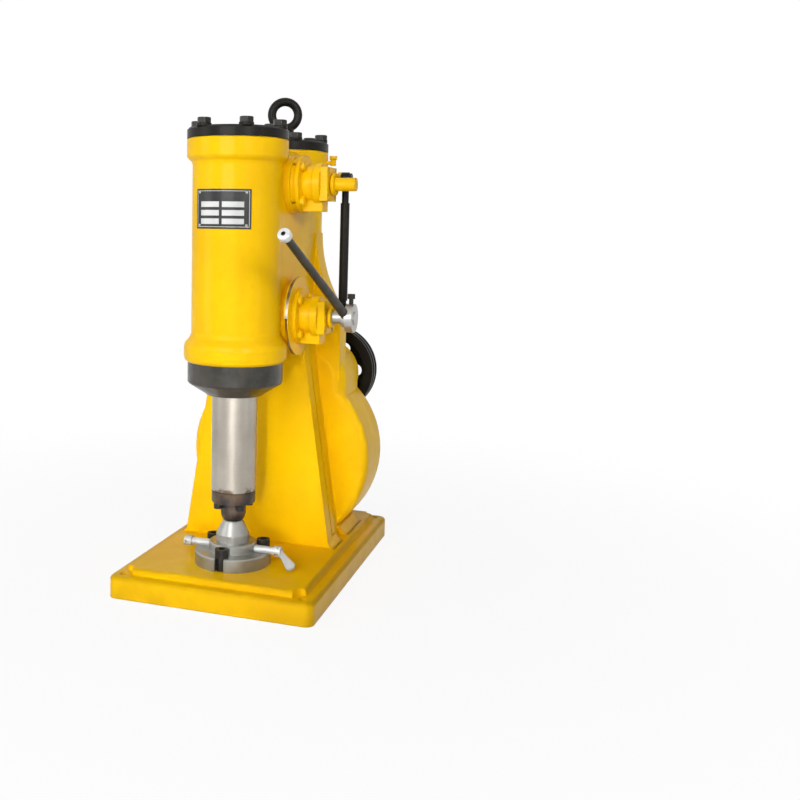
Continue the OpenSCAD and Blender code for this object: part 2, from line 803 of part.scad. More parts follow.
// pin pressed in an arm's eye, with a head outside the link's eye
module arm_pin(z) {
    x_head = link_x0 + link_t + air;
    bar_x(link_pin_r, arm_x0, x_head + 1, y_valve + arm_dy, z + arm_dz, fn_small);
    bar_x(8, x_head, x_head + 5, y_valve + arm_dy, z + arm_dz, 6);
}

module link_pin() {
    color(black) arm_pin(lower_valve_z);
}

module upper_pin() {
    color(black) arm_pin(upper_valve_z);
}

module link_rod() {
    y = y_valve + arm_dy;
    z0 = lower_valve_z + arm_dz;
    z1 = upper_valve_z + arm_dz;
    x_mid = link_x0 + link_t / 2;
    eye_r = 10;
    color(black) difference() {
        union() {
            bar_z(link_neck_r, z0 + 8, z1 - 8, x_mid, y, fn_small);
            bar_z(link_r, z0 + 15, z1 - 46, x_mid, y, fn_mid);
            for (z = [z0, z1]) bar_x(eye_r, link_x0, link_x0 + link_t, y, z, fn_mid);
        }
        bar_x(link_pin_r + fit, link_x0 - cut, link_x0 + link_t + cut, y, z0, fn_small);
        bar_x(link_pin_r + 2 * air, link_x0 - cut, link_x0 + link_t + cut, y, z1, fn_small);
    }
}

// hub of the handle: a sleeve on the lower spindle and a disc at its outer end
module handle_hub() {
    x1 = hub_x0 + hub_t;
    color(steel) difference() {
        union() {
            bar_x(hub_sleeve_r, hub_x0, x1, y_valve, lower_valve_z);
            bar_x(hub_r, x1 - hub_disc_t, x1, y_valve, lower_valve_z);
        }
        bar_x(spindle_r, hub_x0 - cut, x1 + cut, y_valve, lower_valve_z);
        handle_place() translate([0, 0, handle_root]) cylinder(r = handle_r, h = hub_r, $fn = fn_small);
        hub_screw_place() cylinder(r = hub_screw_r, h = hub_r, $fn = fn_small);
    }
}

// the set screw's own frame: Z out of the hub's disc from the spindle's axis
module hub_screw_place() {
    translate([hub_x0 + hub_t - hub_disc_t / 2, y_valve, lower_valve_z]) children();
}

module hub_screw() {
    head_h = 9;
    neck = 9;
    color(black) hub_screw_place() {
        translate([0, 0, spindle_r])
            cylinder(r = hub_screw_r, h = hub_r + neck - spindle_r + cut, $fn = fn_small);
        translate([0, 0, hub_r + neck]) cylinder(r = hub_screw_r * 1.75, h = head_h, $fn = 6);
    }
}

// the handle's own frame: Z along its bar from the lower spindle's axis
module handle_place() {
    translate([hub_x0 + bar_in, y_valve, lower_valve_z])
        rotate([0, acos(handle_unit[2]), atan2(handle_unit[1], handle_unit[0])]) children();
}

module handle() {
    color(dark_steel) handle_place() translate([0, 0, handle_root])
        cylinder(r = handle_r, h = handle_l - knob_h * 0.4 - handle_root, $fn = fn_small);
}

// round bright knob with a hole in its end
module knob() {
    color(steel) handle_place() translate([0, 0, handle_l - knob_h]) difference() {
        rotate_extrude($fn = fn_mid) polygon([
            [0, 0], [knob_r - 4, 0], [knob_r - 1, 3], [knob_r, 6],
            [knob_r - 0.5, knob_h - 3], [knob_r - 3, knob_h], [0, knob_h]
        ]);
        translate([0, 0, -cut]) cylinder(r = handle_r, h = knob_h * 0.6 + cut, $fn = fn_small);
        translate([0, 0, knob_h * 0.65]) cylinder(r = 3.5, h = knob_h, $fn = fn_small);
    }
}

module ram() {
    color(steel) translate([0, y_ham, 0]) difference() {
        rotate_extrude($fn = fn_big) polygon([
            [0, ram_bottom], [ram_r - 1, ram_bottom], [ram_r, ram_bottom + 1], [ram_r, piston_bottom],
            [front_bore_r - fit, piston_bottom], [front_bore_r - fit, piston_bottom + piston_h],
            [0, piston_bottom + piston_h]
        ]);
        for (z = ring_places) difference() {
            bar_z(front_bore_r + cut, z, z + ring_h, 0, 0, fn_big);
            bar_z(front_bore_r - ring_depth, z - cut, z + ring_h + cut, 0, 0, fn_big);
        }
        bar_z(die_stem_r, ram_bottom - cut, ram_bottom + 22, 0, 0, fn_mid);
        bar_z(22, piston_bottom + 10, piston_bottom + piston_h + cut, 0, 0, fn_mid);
        collar_places()
            bar_z(collar_screw_d / 2, ram_bottom - cut, ram_bottom + collar_screw_in + 6, 0, 0, fn_small);
    }
}

module ram_rings() {
    color(dark_steel) for (z = ring_places) difference() {
        bar_z(front_bore_r - fit, z, z + ring_h, 0, y_ham, fn_big);
        bar_z(front_bore_r - ring_depth, z - cut, z + ring_h + cut, 0, y_ham, fn_big);
    }
}

module collar_places() {
    for (a = [45 : 90 : 315]) translate([(ram_r - 10) * cos(a), (ram_r - 10) * sin(a), 0]) children();
}

module die_collar() {
    color(dark_steel) translate([0, y_ham, 0]) difference() {
        rotate_extrude($fn = fn_big) polygon([
            [die_stem_r, ram_bottom - collar_h], [ram_r - 3, ram_bottom - collar_h],
            [ram_r - 1, ram_bottom - collar_h + 2], [ram_r - 1, ram_bottom - 1.5], [ram_r - 2.5, ram_bottom],
            [die_stem_r, ram_bottom]
        ]);
        collar_places()
            bar_z(collar_screw_d / 2, ram_bottom - collar_h - cut, ram_bottom + cut, 0, 0, fn_small);
    }
}

module collar_screws() {
    color(dark_steel) translate([0, y_ham, ram_bottom - collar_h])
        collar_places() rotate([180, 0, 0]) cap_screw(collar_screw_d, collar_h + collar_screw_in);
}

module upper_die() {
    low = strike_z + air;
    neck = ram_bottom - collar_h;
    color(dark_steel) translate([0, y_ham, 0]) rotate_extrude($fn = fn_mid) polygon(concat(
        [[0, low], [14, low]],
        [for (a = [15 : 15 : 75]) [14 + 9 * sin(a), low + 16 * (1 - cos(a))]],
        [[23, low + 16], [23, neck], [die_stem_r, neck], [die_stem_r, ram_bottom + 21], [0, ram_bottom + 21]]
    ));
}

module lower_die() {
    color(steel) translate([0, y_ham, 0]) rotate_extrude($fn = fn_mid) polygon([
        [0, pad_z + 8], [die_r, pad_z + 8], [die_r, strike_z - 25], [die_r - 1, strike_z - 23],
        [19, strike_z - 2], [17.5, strike_z], [0, strike_z]
    ]);
}

module holder_screw_places() {
    for (i = [0 : 2]) {
        a = -90 + i * 120;
        translate([bolt_circle_r * cos(a), y_ham + bolt_circle_r * sin(a), pad_z + flange_t])
            rotate([0, 0, a]) children();
    }
}

module die_holder() {
    color(dark_steel) difference() {
        translate([0, y_ham, 0]) rotate_extrude($fn = fn_big) polygon([
            [0, pad_z], [holder_r, pad_z], [holder_r, pad_z + flange_t - 2], [holder_r - 2, pad_z + flange_t],
            [ring_r + ring_foot, pad_z + flange_t], [ring_r, pad_z + flange_t + ring_foot],
            [ring_r, holder_top - 2],
            [ring_r - 2, holder_top], [die_r + fit, holder_top], [die_r + fit, pad_z + 8], [0, pad_z + 8]
        ]);
        holder_screw_places() {
            bar_z(8.5, -flange_t - cut, cut, 0, 0, fn_small);
            block([0, -8.5, -flange_t - cut], [holder_r, 8.5, cut]);
        }
        bar_x(clamp_r + fit, -holder_r, -die_r + 4, y_ham, clamp_z, fn_small);
        bar_x(clamp_r + fit, die_r - 4, holder_r, y_ham, clamp_z, fn_small);
    }
}

module holder_screws() {
    color(black) holder_screw_places() cap_screw(16, flange_t + 22);
}

// clamp screw pointing to +X, with a forked end
module clamp_screw() {
    difference() {
        union() {
            bar_x(clamp_r, die_r + air, clamp_end, y_ham, clamp_z, fn_small);
            bar_x(clamp_r + 2.5, clamp_end - 14, clamp_end, y_ham, clamp_z, fn_mid);
        }
        block([clamp_end - 11, y_ham - fork_gap / 2, clamp_z - 12],
              [clamp_end + cut, y_ham + fork_gap / 2, clamp_z + 12]);
        bar_y(2 + fit, y_ham - 12, y_ham + 12, clamp_end - 4, clamp_z, fn_small);
    }
}

// turned about the right clamp screw's axis, as it stands at rest
module right_clamp_rest() {
    translate([0, y_ham, clamp_z]) rotate([clamp_turn, 0, 0]) translate([0, -y_ham, -clamp_z]) children();
}

module right_clamp_screw() {
    color(steel) right_clamp_rest() clamp_screw();
}

module left_clamp_screw() {
    color(steel) mirror([1, 0, 0]) clamp_screw();
}

// flat paddle that folds in the fork of the right clamp screw
module right_clamp_lever() {
    reach = 46;
    end_half_w = 9;
    root_half_w = 4.5;
    corner = 4;
    droop = 45;
    half = fork_gap / 2 - air;
    color(steel) right_clamp_rest() {
        translate([clamp_end - 4, y_ham, clamp_z]) rotate([0, droop, 0]) {
            bar_y(root_half_w, -half, half, 0, 0, fn_small);
            slab_y(-half, half) polygon([
                [0, -root_half_w], [reach * 0.4, -root_half_w - 1], [reach - corner, -end_half_w],
                [reach, -end_half_w + corner], [reach, end_half_w - corner], [reach - corner, end_half_w],
                [reach * 0.4, root_half_w + 1], [0, root_half_w]
            ]);
        }
        bar_y(2, y_ham - clamp_r, y_ham + clamp_r, clamp_end - 4, clamp_z, fn_small);
    }
}

module pulley() {
    groove = 8;
    groove_d = 12;
    lip = 5;
    color(black) translate([pinion_x, pulley_y0, pinion_z]) rotate([-90, 0, 0]) difference() {
        rotate_extrude($fn = fn_big) polygon([
            [pinion_shaft_r, 0], [pulley_hub_r, 0], [pulley_hub_r, pulley_web_in],
            [pulley_rim_r, pulley_web_in], [pulley_rim_r, 0],
            [pulley_r - 1, 0], [pulley_r, 1], [pulley_r, lip], [pulley_r - groove_d, lip + groove / 2],
            [pulley_r - groove_d, lip + groove], [pulley_r, lip + groove * 1.5],
            [pulley_r, pulley_w - lip - groove * 1.5], [pulley_r - groove_d, pulley_w - lip - groove],
            [pulley_r - groove_d, pulley_w - lip - groove / 2],
            [pulley_r, pulley_w - lip], [pulley_r, pulley_w - 1], [pulley_r - 1, pulley_w],
            [pulley_rim_r, pulley_w], [pulley_rim_r, pulley_w - pulley_web_in],
            [pulley_hub_r, pulley_w - pulley_web_in], [pulley_hub_r, pulley_w], [pinion_shaft_r, pulley_w]
        ]);
        for (a = [0 : 60 : 300]) rotate([0, 0, a]) translate([(pulley_hub_r + pulley_rim_r) / 2, 0, -cut])
            cylinder(r = pulley_hole_r, h = pulley_w + 2 * cut, $fn = fn_small);
    }
}

module pinion_shaft() {
    color(steel) bar_y(pinion_shaft_r, gear_y0 - 2, pulley_y1 + 16, pinion_x, pinion_z);
}

module pulley_nut() {
    color(dark_steel) difference() {
        union() {
            bar_y(24, pulley_y1, pulley_y1 + 3, pinion_x, pinion_z);
            bar_y(23, pulley_y1 + 2, pulley_y1 + 14, pinion_x, pinion_z, 6);
        }
        bar_y(pinion_shaft_r, pulley_y1 - cut, pulley_y1 + 15, pinion_x, pinion_z);
    }
}

module pinion() {
    color(steel) difference() {
        translate([pinion_x, gear_y0 + gear_w, pinion_z]) rotate([90, 0, 0]) linear_extrude(gear_w)
            rotate(gear_angle + 180 + 180 / pinion_teeth) gear_outline(pinion_teeth, pinion_pitch_r);
        bar_y(pinion_shaft_r, gear_y0 - cut, gear_y0 + gear_w + cut, pinion_x, pinion_z);
    }
}

module gear() {
    color(steel) difference() {
        union() {
            translate([0, gear_y0 + gear_w, crank_z]) rotate([90, 0, 0]) linear_extrude(gear_w)
                rotate(gear_angle) gear_outline(gear_teeth, gear_pitch_r);
            bar_y(crank_journal_r + 16, gear_y0 + gear_w - cut, gear_y0 + gear_w + gear_hub_l, 0, crank_z);
        }
        bar_y(crank_journal_r, gear_y0 + gear_w / 2, gear_y0 + gear_w + gear_hub_l + cut, 0, crank_z);
        bar_y(crank_pin_r, gear_y0 - cut, gear_y0 + gear_w / 2, 0, rod_mid_z);
        for (a = [0 : 60 : 300]) {
            bar_y(gear_hole_r, gear_y0 - cut, gear_y0 + gear_w + cut,
                  gear_hole_circle_r * cos(a), crank_z + gear_hole_circle_r * sin(a), fn_small);
        }
    }
}

module crankshaft() {
    color(steel) bar_y(crank_journal_r, gear_y0 + gear_w / 2, bearing_back + 8, 0, crank_z);
}

module crank_pin() {
    color(steel) bar_y(crank_pin_r, y_comp - 20, gear_y0 + gear_w / 2, 0, rod_mid_z);
}

module conrod() {
    color(dark_steel) difference() {
        union() {
            bar_y(24, y_comp - rod_t / 2, y_comp + rod_t / 2, 0, rod_mid_z);
            bar_y(small_eye_r, y_comp - rod_t / 2, y_comp + rod_t / 2, 0, wrist_z);
            slab_y(y_comp - 9, y_comp + 9) polygon([
                [-15, rod_mid_z], [15, rod_mid_z], [11, wrist_z], [-11, wrist_z]
            ]);
        }
        bar_y(crank_pin_r + 4, y_comp - rod_t, y_comp + rod_t, 0, rod_mid_z);
        bar_y(wrist_r, y_comp - rod_t, y_comp + rod_t, 0, wrist_z);
    }
}

module rod_bush() {
    color(bronze) difference() {
        bar_y(crank_pin_r + 4, y_comp - rod_t / 2, y_comp + rod_t / 2, 0, rod_mid_z);
        bar_y(crank_pin_r + fit, y_comp - rod_t, y_comp + rod_t, 0, rod_mid_z);
    }
}

module wrist_pin() {
    color(steel) bar_y(wrist_r, y_comp - 19, y_comp + 19, 0, wrist_z);
}

module comp_piston() {
    r = rear_bore_r - fit;
    z0 = comp_piston_bottom;
    z1 = comp_piston_top;
    crown = 12;
    color(steel) translate([0, y_comp, 0]) difference() {
        rotate_extrude($fn = fn_big) polygon([
            [rear_bore_r - piston_wall, z0], [r, z0], [r, z1], [0, z1],
            [0, z1 - crown], [rear_bore_r - piston_wall, z1 - crown]
        ]);
        for (z = comp_ring_places) difference() {
            bar_z(rear_bore_r + cut, z, z + ring_h, 0, 0, fn_big);
            bar_z(r - comp_ring_depth, z - cut, z + ring_h + cut, 0, 0, fn_big);
        }
    }
}

module comp_rings() {
    r = rear_bore_r - fit;
    color(dark_steel) for (z = comp_ring_places) difference() {
        bar_z(r, z, z + ring_h, 0, y_comp, fn_big);
        bar_z(r - comp_ring_depth, z - cut, z + ring_h + cut, 0, y_comp, fn_big);
    }
}

base();
frame();
front_cap();
rear_cap();
cap_bolts();
eyebolt();
gland();
guide_bush();
nameplate();
plate_rivets();
oil_cups();
gear_cover();
cover_bolts();
crank_bush();
pinion_bush();
upper_valve_body();
lower_valve_body();
lower_flange();
valve_bolts();
upper_plug();
upper_arm();
lower_plug();
lower_arm();
link_rod();
link_pin();
upper_pin();
handle_hub();
hub_screw();
handle();
knob();
ram();
ram_rings();
die_collar();
collar_screws();
upper_die();
lower_die();
die_holder();
holder_screws();
right_clamp_screw();
right_clamp_lever();
left_clamp_screw();
pulley();
pinion_shaft();
pulley_nut();
pinion();
gear();
crankshaft();
crank_pin();
conrod();
rod_bush();
wrist_pin();
comp_piston();
comp_rings();
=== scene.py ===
"""Looks of the small air forging hammer: enamel, oxide, machined steel, light and camera."""
import math

import bmesh
import bpy
from mathutils import Matrix, Vector


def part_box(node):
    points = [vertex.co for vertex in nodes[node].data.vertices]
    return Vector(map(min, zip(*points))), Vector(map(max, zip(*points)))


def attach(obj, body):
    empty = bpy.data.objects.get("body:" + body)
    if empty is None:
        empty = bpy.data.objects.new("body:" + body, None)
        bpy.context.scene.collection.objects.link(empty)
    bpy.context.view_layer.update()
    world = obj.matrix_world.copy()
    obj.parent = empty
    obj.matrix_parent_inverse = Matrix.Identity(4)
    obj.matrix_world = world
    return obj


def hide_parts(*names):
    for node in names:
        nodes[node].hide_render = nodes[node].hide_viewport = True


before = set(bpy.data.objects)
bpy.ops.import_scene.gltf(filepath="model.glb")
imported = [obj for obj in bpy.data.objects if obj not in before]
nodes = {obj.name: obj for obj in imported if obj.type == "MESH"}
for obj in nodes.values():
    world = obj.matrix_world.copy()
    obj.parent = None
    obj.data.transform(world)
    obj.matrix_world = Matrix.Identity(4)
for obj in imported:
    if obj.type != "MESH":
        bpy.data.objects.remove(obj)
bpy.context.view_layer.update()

# Colours, linear
YELLOW = (0.95, 0.575, 0.001)
YELLOW_DEEP = (0.88, 0.50, 0.001)
# Painted shade with grime: the darker yellow that the lowest 45 mm of the yellow paint turns
# towards
YELLOW_SHADE_AND_GRIME = (0.56, 0.32, 0.004)
BLACK = (0.0050, 0.0047, 0.0040)
BLACK_DUSTY = (0.013, 0.0115, 0.0085)
STEEL = (0.44, 0.405, 0.355)
STEEL_DULL = (0.34, 0.305, 0.26)
ZINC = (0.62, 0.635, 0.635)
ZINC_DULL = (0.46, 0.475, 0.47)
OXIDE = (0.045, 0.040, 0.038)
OXIDE_BROWN = (0.13, 0.085, 0.055)
BRONZE = (0.60, 0.36, 0.13)
BRONZE_DULL = (0.36, 0.20, 0.08)
WHITE_METAL = (0.74, 0.74, 0.73)
WHITE_METAL_DULL = (0.62, 0.63, 0.63)
# Painted shade: the near-black colour inside the knob's end hole
HOLE_SHADE = (0.030, 0.030, 0.032)
RIM_STEEL = (0.42, 0.37, 0.29)
RIM_STEEL_DULL = (0.17, 0.13, 0.08)
GLAND = (0.006, 0.0055, 0.004)
GLAND_WORN = (0.060, 0.054, 0.040)
SCREW = (0.014, 0.013, 0.012)
SCREW_WORN = (0.030, 0.026, 0.022)
HANDLE = (0.042, 0.038, 0.032)
HANDLE_WORN = (0.068, 0.061, 0.050)
HOLDER = (0.41, 0.41, 0.39)
HOLDER_DULL = (0.25, 0.245, 0.22)
DIE = (0.41, 0.405, 0.385)
DIE_DULL = (0.26, 0.255, 0.235)
CROSS_SHAFT = (0.50, 0.50, 0.485)
IRON = (0.36, 0.36, 0.36)
IRON_DULL = (0.25, 0.25, 0.25)
PRINT = (0.66, 0.67, 0.66)
PRINT_DULL = (0.50, 0.51, 0.50)
PLATE = (0.010, 0.010, 0.011)
PLATE_DULL = (0.020, 0.020, 0.021)
FLOOR = (0.93, 0.93, 0.93)
WHITE = (1.0, 1.0, 1.0, 1.0)

# The operating handle: its direction from hub to knob, and its knob's end hole in metres
HANDLE_RUN = (-32.0, -284.0, 153.0)
KNOB_HOLE_R = 0.0035

# How a noise is stretched: tool lines round each axis, and runs down an upright face
ROUND_Z = (0.04, 0.04, 1.0)
ROUND_Y = (0.04, 1.0, 0.04)
ROUND_X = (1.0, 0.04, 0.04)
BUSH_LINES = (0.05, 0.05, 1.0)
UPRIGHT = (1.0, 1.0, 0.06)


class Surface:
    """One procedural material and the few node chains that it is built from."""

    def __init__(self, name, metallic=0.0, coat=0.0):
        self.material = bpy.data.materials.new(name)
        self.material.use_nodes = True
        self.tree = self.material.node_tree
        self.shader = self.tree.nodes["Principled BSDF"]
        self.shader.inputs["Metallic"].default_value = metallic
        self.shader.inputs["Coat Weight"].default_value = coat
        self.shader.inputs["Coat Roughness"].default_value = 0.09
        self.coords = self.tree.nodes.new("ShaderNodeTexCoord").outputs["Object"]
        self.normal = None

    def link(self, source, target):
        self.tree.links.new(source, target)

    def noise(self, scale, detail=4.0, stretch=(1.0, 1.0, 1.0)):
        """Noise over the object's own coordinates, in features per metre."""
        place = self.tree.nodes.new("ShaderNodeMapping")
        place.inputs["Scale"].default_value = stretch
        self.link(self.coords, place.inputs["Vector"])
        texture = self.tree.nodes.new("ShaderNodeTexNoise")
        texture.inputs["Scale"].default_value = scale
        texture.inputs["Detail"].default_value = detail
        self.link(place.outputs["Vector"], texture.inputs["Vector"])
        return texture.outputs["Fac"]

    def spread(self, source, low, high, to_low, to_high):
        """Maps part of a texture's range to another range."""
        spread = self.tree.nodes.new("ShaderNodeMapRange")
        spread.inputs["From Min"].default_value = low
        spread.inputs["From Max"].default_value = high
        spread.inputs["To Min"].default_value = to_low
        spread.inputs["To Max"].default_value = to_high
        self.link(source, spread.inputs["Value"])
        return spread.outputs["Result"]

    def blend(self, amount, first, second):
        """Mixes two colours; each is a plain colour or the output of another mix."""
        mix = self.tree.nodes.new("ShaderNodeMix")
        mix.data_type = "RGBA"
        self.link(amount, mix.inputs["Factor"])
        for value, socket in ((first, mix.inputs["A"]), (second, mix.inputs["B"])):
            if isinstance(value, tuple):
                socket.default_value = (*value, 1.0)
            else:
                self.link(value, socket)
        return mix.outputs["Result"]

    def colour(self, source):
        self.link(source, self.shader.inputs["Base Color"])

    def roughness(self, noise, low, high):
        """Lets the middle of a noise's range move the roughness between two values."""
        self.link(self.spread(noise, 0.3, 0.7, low, high), self.shader.inputs["Roughness"])

    def soft_edges(self, radius):
        """Rounds the edges in the shading, as a cast or broken edge is."""
        bevel = self.tree.nodes.new("ShaderNodeBevel")
        bevel.samples = 4
        bevel.inputs["Radius"].default_value = radius
        self.normal = bevel.outputs["Normal"]
        return self.edge_mask(bevel.outputs["Normal"])

    def edge_mask(self, rounded):
        """About 1 on the edges and 0 on the flats, from how far the rounding turns the surface."""
        flat = self.tree.nodes.new("ShaderNodeNewGeometry").outputs["Normal"]
        dot = self.tree.nodes.new("ShaderNodeVectorMath")
        dot.operation = "DOT_PRODUCT"
        self.link(rounded, dot.inputs[0])
        self.link(flat, dot.inputs[1])
        return self.spread(dot.outputs["Value"], 0.96, 0.78, 0.0, 1.0)

    def bump(self, height, strength, depth):
        bump = self.tree.nodes.new("ShaderNodeBump")
        bump.inputs["Strength"].default_value = strength
        bump.inputs["Distance"].default_value = depth
        self.link(height, bump.inputs["Height"])
        if self.normal is not None:
            self.link(self.normal, bump.inputs["Normal"])
        self.normal = bump.outputs["Normal"]
        self.link(self.normal, self.shader.inputs["Normal"])

    def across(self, letter):
        """One coordinate of the object's own frame."""
        split = self.tree.nodes.new("ShaderNodeSeparateXYZ")
        self.link(self.coords, split.inputs["Vector"])
        return split.outputs[letter]

    def off_line(self, point, direction):
        """Distance from a line through a point, in metres."""
        start = self.tree.nodes.new("ShaderNodeVectorMath")
        start.operation = "SUBTRACT"
        self.link(self.coords, start.inputs[0])
        start.inputs[1].default_value = point
        cross = self.tree.nodes.new("ShaderNodeVectorMath")
        cross.operation = "CROSS_PRODUCT"
        self.link(start.outputs["Vector"], cross.inputs[0])
        cross.inputs[1].default_value = direction
        length = self.tree.nodes.new("ShaderNodeVectorMath")
        length.operation = "LENGTH"
        self.link(cross.outputs["Vector"], length.inputs[0])
        return length.outputs["Value"]

    def times(self, first, second):
        product = self.tree.nodes.new("ShaderNodeMath")
        product.operation = "MULTIPLY"
        self.link(first, product.inputs[0])
        self.link(second, product.inputs[1])
        return product.outputs["Value"]


def enamel_on_casting(name, main, deep, edge, gloss=0.05, coat=0.10, foot_shade_and_grime=None):
    """Brushed enamel over a sand casting: uneven tone, faint runs, orange peel, painted shade and
    grime at the foot.
    """
    paint = Surface(name, coat=coat)
    paint.shader.inputs["Specular IOR Level"].default_value = gloss
    paint.soft_edges(edge)
    tone = paint.spread(paint.noise(9.0, 5.0), 0.35, 0.68, 0.0, 1.0)
    film = paint.spread(paint.noise(70.0, 6.0), 0.45, 0.75, 0.0, 0.6)
    runs = paint.spread(paint.noise(34.0, 3.0, UPRIGHT), 0.45, 0.72, 0.0, 0.5)
    shade = paint.blend(runs, paint.blend(film, paint.blend(tone, main, deep), deep), deep)
    if foot_shade_and_grime is not None:
        # Painted shade with grime: the paint turns darker and patchy over the lowest 45 mm,
        # towards the floor
        foot = paint.spread(paint.across("Z"), 0.0, 0.045, 0.6, 0.0)
        patches = paint.spread(paint.noise(22.0, 6.0), 0.35, 0.65, 0.35, 1.0)
        shade = paint.blend(paint.times(foot, patches), shade, foot_shade_and_grime)
    paint.colour(shade)
    paint.roughness(paint.noise(38.0, 6.0), 0.30, 0.46)
    paint.bump(paint.noise(26.0, 2.0), 0.30, 0.0016)
    paint.bump(paint.noise(420.0, 2.0), 0.22, 0.00025)
    return paint.material


def oxide_steel(name, main, brown, metallic=0.75):
    """Blackened or heat-stained steel with brown patches and a fine scale."""
    steel = Surface(name, metallic=metallic)
    edges = steel.soft_edges(0.0008)
    stain = steel.spread(steel.noise(45.0, 7.0), 0.42, 0.66, 0.0, 1.0)
    bright = steel.times(edges, steel.spread(steel.noise(210.0, 4.0), 0.4, 0.6, 0.1, 0.8))
    steel.colour(steel.blend(bright, steel.blend(stain, main, brown), STEEL_DULL))
    steel.roughness(steel.noise(90.0, 6.0), 0.32, 0.58)
    steel.bump(steel.noise(240.0, 2.0), 0.08, 0.0002)
    return steel.material


def machined_steel(name, main, dull, lines, metallic=1.0):
    """Turned or ground steel: fine tool lines across one axis and faint smears."""
    grain = 900.0
    steel = Surface(name, metallic=metallic)
    steel.soft_edges(0.0008)
    smear = steel.spread(steel.noise(14.0, 6.0), 0.35, 0.7, 0.0, 1.0)
    score = steel.noise(grain, 2.0, lines)
    steel.colour(steel.blend(smear, main, dull))
    steel.roughness(steel.noise(grain * 0.5, 3.0, lines), 0.30, 0.44)
    steel.bump(score, 0.10, 0.00006)
    return steel.material


def oiled_ram(name):
    """Ground ram: faint upright bands, an uneven brown stain above the die collar."""
    ram = Surface(name, metallic=0.9)
    ram.soft_edges(0.0008)
    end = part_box("die_collar")[1][2]
    smear = ram.spread(ram.noise(14.0, 6.0), 0.35, 0.7, 0.0, 1.0)
    bands = ram.spread(ram.noise(60.0, 3.0, UPRIGHT), 0.4, 0.7, 0.0, 0.45)
    metal = ram.blend(bands, ram.blend(smear, STEEL, STEEL_DULL), STEEL_DULL)
    height = ram.spread(ram.across("Z"), end - 0.004, end + 0.020, 1.0, 0.0)
    stain = ram.times(height, ram.spread(ram.noise(40.0, 5.0), 0.35, 0.6, 0.2, 1.4))
    ram.colour(ram.blend(ram.spread(stain, 0.45, 0.75, 0.0, 0.85), metal, OXIDE_BROWN))
    ram.roughness(ram.noise(450.0, 3.0, ROUND_Z), 0.30, 0.44)
    ram.bump(ram.noise(900.0, 2.0, ROUND_Z), 0.10, 0.00006)
    return ram.material


def bronze_bush(name):
    """Bronze with tarnish and fine turning lines."""
    bronze = Surface(name, metallic=1.0)
    bronze.soft_edges(0.0006)
    tarnish = bronze.spread(bronze.noise(60.0, 6.0), 0.4, 0.7, 0.0, 1.0)
    bronze.colour(bronze.blend(tarnish, BRONZE, BRONZE_DULL))
    bronze.roughness(bronze.noise(120.0, 5.0), 0.25, 0.45)
    bronze.bump(bronze.noise(700.0, 2.0, BUSH_LINES), 0.15, 0.0001)
    return bronze.material


def bored_knob(name):
    """Bright turned knob whose end hole is painted nearly black inside, as painted shade."""
    knob = Surface(name, metallic=0.35)
    low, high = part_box("handle")
    middle = tuple((low[k] + high[k]) / 2 for k in range(3))
    # Painted shade: within the end hole's radius the colour turns nearly black
    hole_shade_r = KNOB_HOLE_R + 0.0001
    run = Vector(HANDLE_RUN).normalized()
    hole_shade = knob.spread(knob.off_line(middle, run), hole_shade_r, hole_shade_r + 0.0004, 1.0, 0.0)
    smear = knob.spread(knob.noise(60.0, 5.0), 0.35, 0.7, 0.0, 1.0)
    metal = knob.blend(smear, WHITE_METAL, WHITE_METAL_DULL)
    knob.colour(knob.blend(hole_shade, metal, HOLE_SHADE))
    knob.roughness(knob.noise(160.0, 3.0), 0.28, 0.40)
    knob.bump(knob.noise(200.0, 1.0), 0.03, 0.00005)
    return knob.material


def ring_bare_at_rim(name):
    """Machined ring that shows bare steel on the edge of its rim and paint on the rest."""
    ring = Surface(name)
    ring.shader.inputs["Specular IOR Level"].default_value = 0.2
    ring.soft_edges(0.0006)
    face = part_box("lower_flange")[1][0]
    x = ring.across("X")
    bare = ring.times(ring.spread(x, face - 0.0062, face - 0.0056, 0.0, 1.0),
                      ring.spread(x, face - 0.0010, face - 0.0006, 1.0, 0.0))
    smear = ring.spread(ring.noise(30.0, 6.0), 0.35, 0.7, 0.0, 1.0)
    tone = ring.spread(ring.noise(9.0, 5.0), 0.35, 0.68, 0.0, 1.0)
    steel = ring.blend(smear, RIM_STEEL, RIM_STEEL_DULL)
    ring.colour(ring.blend(bare, ring.blend(tone, YELLOW, YELLOW_DEEP), steel))
    ring.link(ring.spread(bare, 0.0, 1.0, 0.0, 0.8), ring.shader.inputs["Metallic"])
    ring.roughness(ring.noise(38.0, 6.0), 0.32, 0.48)
    ring.bump(ring.noise(420.0, 2.0), 0.15, 0.0002)
    return ring.material


yellow = enamel_on_casting("yellow_enamel", YELLOW, YELLOW_DEEP, 0.0035, foot_shade_and_grime=YELLOW_SHADE_AND_GRIME)
black = enamel_on_casting("black_enamel", BLACK, BLACK_DUSTY, 0.0015, 0.10, 0.05)
gland_black = enamel_on_casting("gland_enamel", GLAND, GLAND_WORN, 0.0015, 0.30, 0.30)
screw_black = oxide_steel("black_screws", SCREW, SCREW_WORN, 0.5)
dark = oxide_steel("stained_steel", OXIDE, OXIDE_BROWN)
handle_grey = oxide_steel("handle_steel", HANDLE, HANDLE_WORN)
holder_grey = machined_steel("holder_steel", HOLDER, HOLDER_DULL, ROUND_Z, 0.85)
flange_rim = ring_bare_at_rim("flange_rim")
die_steel = machined_steel("die_steel", DIE, DIE_DULL, ROUND_Z, 0.75)
ram_steel = oiled_ram("ram_steel")
shaft_steel = machined_steel("shaft_steel", STEEL, STEEL_DULL, ROUND_Y)
cross_steel = machined_steel("cross_shaft_steel", CROSS_SHAFT, STEEL_DULL, ROUND_X, 0.8)
piston_iron = machined_steel("piston_iron", IRON, IRON_DULL, ROUND_Z)
